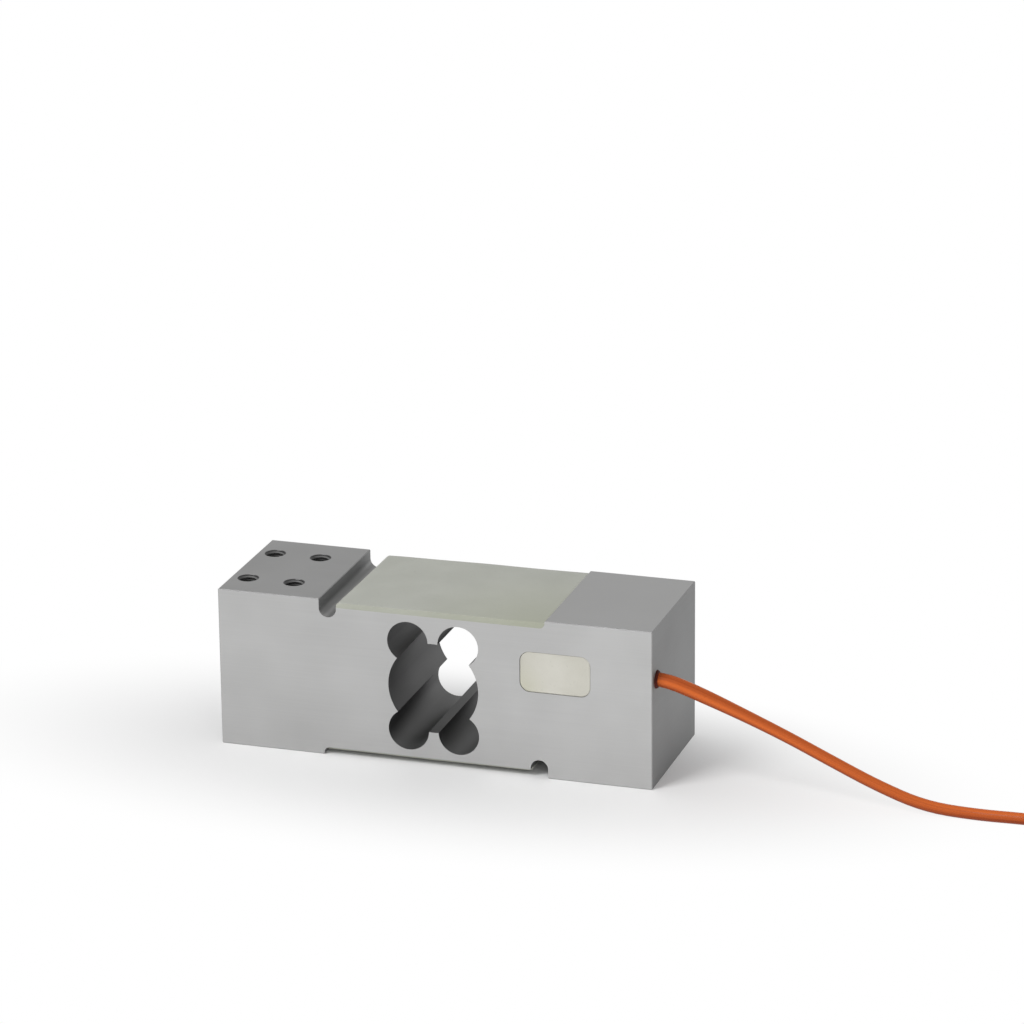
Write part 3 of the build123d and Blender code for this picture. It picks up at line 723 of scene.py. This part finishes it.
# %% [markdown]
# ## Jacket finish
# The jacket is smooth soft plastic, and the press that drew it leaves faint streaks along it. A
# pattern on the place in space would cut across the bends, so the streaks read the curve's own
# map: one way round the section, and slowly along the line.
# %% Jacket finish
def jacket_finish(name, dark, light, gloss):
    """Extruded soft plastic: lengthwise streaks round its section and a few dull marks."""
    finish, tree, shader = new_finish(name)
    along, round_share, _ = parts_of(tree, node(tree, "ShaderNodeTexCoord").outputs["UV"])
    turn = calc(tree, "MULTIPLY", round_share, 2 * pi)
    section = {
        0: calc(tree, "COSINE", turn), 1: calc(tree, "SINE", turn), 2: calc(tree, "MULTIPLY", along, 12.0)
    }
    slow = grain(tree, node(tree, "ShaderNodeCombineXYZ", section).outputs[0], 2.0)
    fine = grain(tree, place_on_object(tree, scale=(700.0, 700.0, 700.0)), 3.0)
    colour = blend(tree, spread(tree, slow, *noise_middle, 0.0, 1.0), dark, light)
    tree.links.new(colour, shader.inputs["Base Color"])
    tree.links.new(spread(tree, fine, 0.35, 0.75, gloss, gloss + 0.14), shader.inputs["Roughness"])
    shader.inputs["Specular IOR Level"].default_value = 0.14
    height = calc(tree, "ADD", slow, calc(tree, "MULTIPLY", fine, 0.08))
    raise_by(tree, shader, height, 0.00008, 0.4)
    return finish


jacket = jacket_finish("cable_jacket", (0.28, 0.047, 0.011), (0.63, 0.134, 0.027), 0.24)
cable_run.data.materials.append(jacket)
print("nodes in the jacket", len(jacket.node_tree.nodes))

# %% [markdown]
# ## Leads
# The four leads and the bare screen wire come out of the shrunk sleeve, settle on the coil and
# fan out. Straight rods would look like needles, so they are NURBS lines too, which bend as wire
# does, each with the widths and the jacket finish of its own size and colour.
# %% Ways of the leads
leads_start = 170.0
leads_above_tail = 0.0003
drain_below_tail = 0.0010
core_width = 0.0010
drain_width = 0.0005
coil_high = 0.01935
lead_centre = coil_mean_radius - turn_pitch / 2
lead_bends = ((-2.0, 0.0), (3.0, 0.03), (8.0, 0.38), (13.0, 0.84), (18.0, 1.0), (28.0, 1.0), (40.0, 1.0))
# Each lead: its shift and rise in the sleeve, its place in the fan, and its two colours.
lead_plan = {
    "red": (-0.00055, 0.00055, -0.0032, (0.46, 0.012, 0.010), (0.58, 0.020, 0.014)),
    "black": (-0.00055, -0.00055, -0.0013, (0.012, 0.012, 0.013), (0.030, 0.030, 0.032)),
    "green": (0.00055, -0.00055, 0.0013, (0.008, 0.120, 0.020), (0.014, 0.180, 0.034)),
    "white": (0.00055, 0.00055, 0.0032, (0.66, 0.66, 0.63), (0.78, 0.78, 0.75)),
}


def lead_route(start_shift, start_height, reach, width):
    """A lead's points: out of the sleeve, down to the turns below, and on in a widening fan."""
    rest = coil_high + width / 2
    points = []
    for angle, share in lead_bends:
        shift = start_shift + (reach - start_shift) * share
        height = start_height + (rest - start_height) * share
        points.append(tuple(coil_point(leads_start + angle, lead_centre + shift, height)))
    return points


print("points of each lead", len(lead_bends))

# %% Leads
for colour_name, (start_shift, start_rise, reach, dark, light) in lead_plan.items():
    lead_height = tail_height + leads_above_tail + start_rise
    lead_points = lead_route(start_shift, lead_height, reach, core_width)
    core_widths = [core_width] * len(lead_points)
    lead = smooth_line(f"wire_end_{colour_name}", lead_points, core_widths, 3)
    core_finish = jacket_finish(f"core_{colour_name}", dark, light, 0.28)
    lead.data.materials.append(core_finish)
    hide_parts(f"lead_{colour_name}")
    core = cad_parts[f"core_{colour_name}"]
    core.data.materials.clear()
    core.data.materials.append(core_finish)
drain_points = lead_route(0.0, tail_height - drain_below_tail, 0.0, drain_width)
drain_widths = [drain_width] * len(drain_points)
drain_line = smooth_line("screen_wire_end", drain_points, drain_widths, 3)
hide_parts("drain_wire")
print("leads", ", ".join(lead_plan))

# %% [markdown]
# ## Ties
# Each tie is a flat nylon strap, closed round the turns and pulled through its locking head,
# with a short cut end. A curve with a flat section could make the strap, but it would twist at
# the bends, so a rounded outline is given its width and thickness instead. The head is a small
# block with softened edges and a slot. All of it repeats the solids' places.
# %% Sizes of a tie
tie_thickness = 0.0009
tie_width = 0.0050
tie_bend = 0.0023
strap_round = 0.00018
sharp_from = radians(60)
tie_play = 0.00005
head_length = 0.0060
head_width = 0.0045
head_depth = 0.0030
head_round = 0.0004
slot_wall = 0.0008
slot_depth = 0.0012
end_width = 0.0044
end_round = 0.0002
end_from_turns = (0.00075, 0.0017)
end_from_middle = (0.0015, 0.0052)
coil_low = 0.00095
coil_half_width = 1.5 * turn_pitch
tie_inner = coil_mean_radius - coil_half_width - tie_play
tie_outer = coil_mean_radius + coil_half_width + tie_play
tie_middle = (coil_low + coil_high) / 2
print("tie loop", round(tie_outer - tie_inner, 4), "wide")


# %% Strap
def strap_shape():
    """The strap: a rounded outline round the turns, given its thickness and soft edges."""
    low = (tie_inner, -tie_width / 2, coil_low - tie_play)
    shape = block_shape(low, (tie_outer, tie_width / 2, coil_high + tie_play))
    ends = [face for face in shape.faces if abs(face.normal.y) > 0.9]
    bmesh.ops.delete(shape, geom=ends, context="FACES_ONLY")
    across = [edge for edge in shape.edges if abs(edge.verts[0].co.y - edge.verts[1].co.y) > 1e-4]
    soften(shape, across, tie_bend, 6)
    bmesh.ops.recalc_face_normals(shape, faces=shape.faces)
    bmesh.ops.solidify(shape, geom=shape.faces[:], thickness=-tie_thickness)
    bmesh.ops.recalc_face_normals(shape, faces=shape.faces)
    folds = [edge for edge in shape.edges if len(edge.link_faces) == 2]
    soften(shape, [edge for edge in folds if edge.calc_face_angle() > sharp_from], strap_round, 2)
    return shape


print("way round the turns", round(2 * (tie_outer - tie_inner + coil_high - coil_low), 4))


# %% Head and cut end
def head_shape():
    """The locking head: a small block with a slot in its top."""
    foot = tie_outer + tie_thickness / 2
    head = block_shape(
        (foot, -head_width / 2, tie_middle - head_length / 2),
        (foot + head_depth, head_width / 2, tie_middle + head_length / 2),
    )
    top = [face for face in head.faces if face.normal.z > 0.9]
    slot = bmesh.ops.inset_region(head, faces=top, thickness=slot_wall)
    bmesh.ops.translate(head, vec=(0, 0, -slot_depth), verts=top[0].verts)
    near_end, long_side = head_length / 2 - 1e-5, 0.9 * head_length
    outside = [
        edge for edge in head.edges
        if all(abs(v.co.z - tie_middle) > near_end or edge.calc_length() > long_side for v in edge.verts)
        and not any(face in slot["faces"] or face is top[0] for face in edge.link_faces)
    ]
    soften(head, outside, head_round, 3)
    return head


def end_shape():
    """The cut end that stands out of the head."""
    end = block_shape(
        (tie_outer + end_from_turns[0], -end_width / 2, tie_middle + end_from_middle[0]),
        (tie_outer + end_from_turns[1], end_width / 2, tie_middle + end_from_middle[1]),
    )
    soften(end, [edge for edge in end.edges if edge.calc_length() > 0.003], end_round, 2)
    return end


print("head stands out", round(tie_thickness / 2 + head_depth, 5))


# %% Both ties
def tie_shape(degrees):
    """A whole tie, made at the side of the coil that faces +X and turned to its place."""
    shape = strap_shape()
    for part in (head_shape(), end_shape()):
        extra = bpy.data.meshes.new("part_of_tie")
        part.to_mesh(extra)
        part.free()
        shape.from_mesh(extra)
        bpy.data.meshes.remove(extra)
    to_its_place = Matrix.Rotation(radians(degrees), 3, "Z")
    bmesh.ops.rotate(shape, cent=(0, 0, 0), matrix=to_its_place, verts=shape.verts)
    bmesh.ops.translate(shape, vec=coil_middle, verts=shape.verts)
    return shape


nylon_grain = (500.0, 500.0, 500.0)
tie_finish = plain_finish("tie_nylon", (0.012, 0.012, 0.012), (0.028, 0.028, 0.029), nylon_grain, 0.42)
for node_name, degrees in (("coil_tie_rear", 150.0), ("coil_tie_front", -60.0)):
    tie = piece_from(tie_shape(degrees), node_name.replace("coil_tie", "strap"), 40.0)
    tie.data.materials.append(tie_finish)
    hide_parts(node_name)


# %% [markdown]
# ## What the compound hides
# The gauges, strips, wires, board and the cable's inner end stay as the solids are. They are
# seen only in a section, but each gets the finish that it really has: amber film with a metal
# foil grid, green board with tinned pads, dark chips with metal caps, braided screen. Metal and
# film could be two pieces each, but they are thinner than a hair, so a pattern tells them apart.
# %% Finishes of film and metal
def put_finish(finish, *names):
    """Gives solids their finish."""
    for name in names:
        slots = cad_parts[name].data.materials
        slots.clear()
        slots.append(finish)


def two_part_finish(name, film, metal, metal_share):
    """A film with metal on part of it. metal_share makes the 0 to 1 pattern of the metal."""
    finish, tree, shader = new_finish(name)
    share = metal_share(tree)
    clouds = grain(tree, place_on_object(tree, scale=(800.0, 800.0, 800.0)), 3.0)
    worn_film = tuple(0.7 * part for part in film)
    worn = blend(tree, spread(tree, clouds, *noise_middle, 0.0, 0.4), film, worn_film)
    tree.links.new(blend(tree, share, worn, metal), shader.inputs["Base Color"])
    tree.links.new(share, shader.inputs["Metallic"])
    tree.links.new(spread(tree, clouds, *noise_most, 0.28, 0.45), shader.inputs["Roughness"])
    raise_by(tree, shader, clouds, 0.00001, 0.4)
    return finish


# %% Where the metal is
foil_level = 0.02916
terminal_pitch = 0.0024
solder_pitch = 0.0014
board_middle = (0.0485, 0.0, 0.043)
pads_from_middle = 0.0052
chip_from_middle = 0.0023
chip_bare_half = 0.00109
strands_round = 12.0
strand_rise = 9000.0


def above_film(tree):
    """The foil is what stands off the backing film, above and below the block alike."""
    height = parts_of(tree, place_on_object(tree, centre=block_middle))[2]
    return calc(tree, "GREATER_THAN", calc(tree, "ABSOLUTE", height), foil_level)


def copper_pads(tree):
    """Four copper pads across a strip."""
    across = calc(tree, "SUBTRACT", parts_of(tree, place_on_object(tree))[1], terminal_pitch / 2)
    waves = calc(tree, "COSINE", calc(tree, "MULTIPLY", across, 2 * pi / terminal_pitch))
    return calc(tree, "GREATER_THAN", waves, -0.2)


def tinned_pads(tree):
    """Tinned pads under the solder joints, in a row at each end of the board."""
    along, _, up = parts_of(tree, place_on_object(tree, centre=board_middle))
    at_end = calc(tree, "GREATER_THAN", calc(tree, "ABSOLUTE", along), pads_from_middle)
    waves = calc(tree, "COSINE", calc(tree, "MULTIPLY", up, 2 * pi / solder_pitch))
    return calc(tree, "MULTIPLY", at_end, calc(tree, "LESS_THAN", waves, -0.3))


def chip_caps(tree):
    """The metal cap on each end of the trimming resistors."""
    along = parts_of(tree, place_on_object(tree, centre=board_middle))[0]
    from_chip = calc(tree, "SUBTRACT", calc(tree, "ABSOLUTE", along), chip_from_middle)
    return calc(tree, "GREATER_THAN", calc(tree, "ABSOLUTE", from_chip), chip_bare_half)


def braid_strands(tree):
    """Two sets of strands that cross round the screen."""
    along, aside, up = parts_of(tree, place_on_object(tree, centre=cable_exit))
    turn = calc(tree, "MULTIPLY", calc(tree, "ARCTAN2", aside, up), strands_round)
    rise = calc(tree, "MULTIPLY", along, strand_rise)
    one = calc(tree, "SINE", calc(tree, "ADD", turn, rise))
    other = calc(tree, "SINE", calc(tree, "SUBTRACT", turn, rise))
    return calc(tree, "GREATER_THAN", calc(tree, "MAXIMUM", one, other), -0.1)


print("copper pads every", terminal_pitch, "and solder every", solder_pitch)

# %% Finishes of the inner pieces
put_finish(
    two_part_finish("gauge_foil", (0.36, 0.17, 0.03), (0.62, 0.56, 0.47), above_film),
    "gauge_top_left", "gauge_top_right", "gauge_bottom_left", "gauge_bottom_right",
)
put_finish(
    two_part_finish("terminal_film", (0.30, 0.16, 0.04), (0.80, 0.42, 0.26), copper_pads),
    "top_terminal_strip", "bottom_terminal_strip",
)
put_finish(
    two_part_finish("board_laminate", (0.010, 0.090, 0.030), (0.72, 0.71, 0.69), tinned_pads), "trim_board"
)
put_finish(
    two_part_finish("resistor_ceramic", (0.014, 0.014, 0.016), (0.70, 0.70, 0.70), chip_caps),
    "zero_trim_resistor", "span_trim_resistor", "zero_temperature_resistor", "span_temperature_resistor",
)
put_finish(
    two_part_finish("shield_braid", (0.10, 0.09, 0.08), (0.74, 0.72, 0.69), braid_strands), "shield_braid"
)
wire_grain = (900.0, 900.0, 900.0)
put_finish(
    plain_finish("bare_copper", (0.70, 0.36, 0.20), (0.85, 0.48, 0.30), wire_grain, 0.3, metallic=1.0),
    "top_gauge_wires", "bottom_gauge_wires",
)
put_finish(
    plain_finish("wire_enamel", (0.52, 0.50, 0.38), (0.62, 0.60, 0.48), wire_grain, 0.35),
    "top_bridge_wires", "bottom_bridge_wires",
)
put_finish(
    plain_finish("solder", (0.56, 0.56, 0.57), (0.74, 0.74, 0.75), wire_grain, 0.25, metallic=1.0),
    "board_solder",
)
tinned = plain_finish(
    "tinned_copper", (0.50, 0.48, 0.44), (0.78, 0.76, 0.73), wire_grain, 0.34,
    bump=0.000004, metallic=1.0,
)
put_finish(tinned, "lead_tips")
drain_line.data.materials.append(tinned)
sleeve_grain = (260.0, 260.0, 700.0)
sleeve_finish = plain_finish(
    "shrink_sleeve", (0.010, 0.010, 0.011), (0.026, 0.026, 0.027), sleeve_grain, 0.5, bump=0.00006
)
put_finish(sleeve_finish, "end_sleeve")
print("finishes so far", len(bpy.data.materials))

# %% [markdown]
# ## Floor
# The floor is pale and matt, so it takes the object's soft shadow. Further out it turns into
# plain white, for the camera and for the metal's reflections alike, as a lit studio sweep does.
# Brighter lamps would do that too, but they would wash the object out, so the floor's own
# material does it.
# %% Floor
shadow_middle = (0.0, -0.02, 0.0)
shadow_stretch = (0.45, 1.0, 1.0)
shadow_ends = (0.03, 0.105)


def floor_finish():
    """A matt pale floor that becomes white away from the object, where it is only looked at."""
    finish, tree, shader = new_finish("studio_floor")
    shader.inputs["Base Color"].default_value = (0.90, 0.90, 0.90, 1.0)
    shader.inputs["Roughness"].default_value = 0.9
    shader.inputs["Specular IOR Level"].default_value = 0.1
    white = node(tree, "ShaderNodeEmission", {"Color": (1.0, 1.0, 1.0, 1.0), "Strength": 1.0})
    reach = length_of(tree, place_on_object(tree, scale=shadow_stretch, centre=shadow_middle))
    far_inputs = {"Value": reach, 1: shadow_ends[0], 2: shadow_ends[1]}
    far = node(tree, "ShaderNodeMapRange", far_inputs, interpolation_type="SMOOTHSTEP").outputs[0]
    path = node(tree, "ShaderNodeLightPath")
    seen = calc(tree, "MAXIMUM", path.outputs["Is Camera Ray"], path.outputs["Is Glossy Ray"])
    seen = calc(tree, "MAXIMUM", seen, path.outputs["Is Transmission Ray"])
    share = calc(tree, "MULTIPLY", far, seen)
    mixed = node(tree, "ShaderNodeMixShader", {0: share, 1: shader.outputs[0], 2: white.outputs[0]})
    tree.links.new(mixed.outputs[0], tree.nodes["Material Output"].inputs["Surface"])
    return finish


floor_shape = bmesh.new()
bmesh.ops.create_grid(floor_shape, x_segments=1, y_segments=1, size=15.0)
floor_mesh = bpy.data.meshes.new("floor")
floor_shape.to_mesh(floor_mesh)
floor_shape.free()
floor_mesh.materials.append(floor_finish())
floor = bpy.data.objects.new("floor", floor_mesh)
bpy.context.scene.collection.objects.link(floor)
print("floor white from", shadow_ends[1], "m")

# %% [markdown]
# ## World and lamps
# The world is an even grey with a bright band low down, which gives the metal its pale front.
# One large lamp from the left gives the soft shadow, and a weak one from the right fills it. A
# picture of a studio could light it as well, but an even world and two lamps are easy to steer.
# %% World
band_height = (0.10, 0.26)
world = bpy.data.worlds.new("studio")
world.use_nodes = True
bpy.context.scene.world = world
sky = world.node_tree
upward = parts_of(sky, node(sky, "ShaderNodeTexCoord").outputs["Generated"])[2]
band = spread(sky, upward, *band_height, 0.0, 1.0)
sky_colour = blend(sky, band, (1.0, 1.0, 1.0), (0.46, 0.46, 0.46))
sky.links.new(sky_colour, sky.nodes["Background"].inputs["Color"])
print("world white up to", band_height[0])


# %% Lamps
def soft_lamp(name, place, aim, size, power):
    """A square area lamp that looks at a point."""
    lamp_data = bpy.data.lights.new(name, "AREA")
    lamp_data.size = size
    lamp_data.energy = power
    lamp = bpy.data.objects.new(name, lamp_data)
    place, aim = Vector(place), Vector(aim)
    turned = (aim - place).to_track_quat("-Z", "Y").to_matrix().to_4x4()
    lamp.matrix_world = Matrix.Translation(place) @ turned
    bpy.context.scene.collection.objects.link(lamp)
    print(name, power, "W")


soft_lamp("key_lamp", (-0.9, -1.3, 1.7), (0.0, 0.0, 0.0), 0.9, 28.0)
soft_lamp("fill_lamp", (0.9, -1.6, 0.9), (0.05, 0.0, 0.03), 0.9, 3.5)
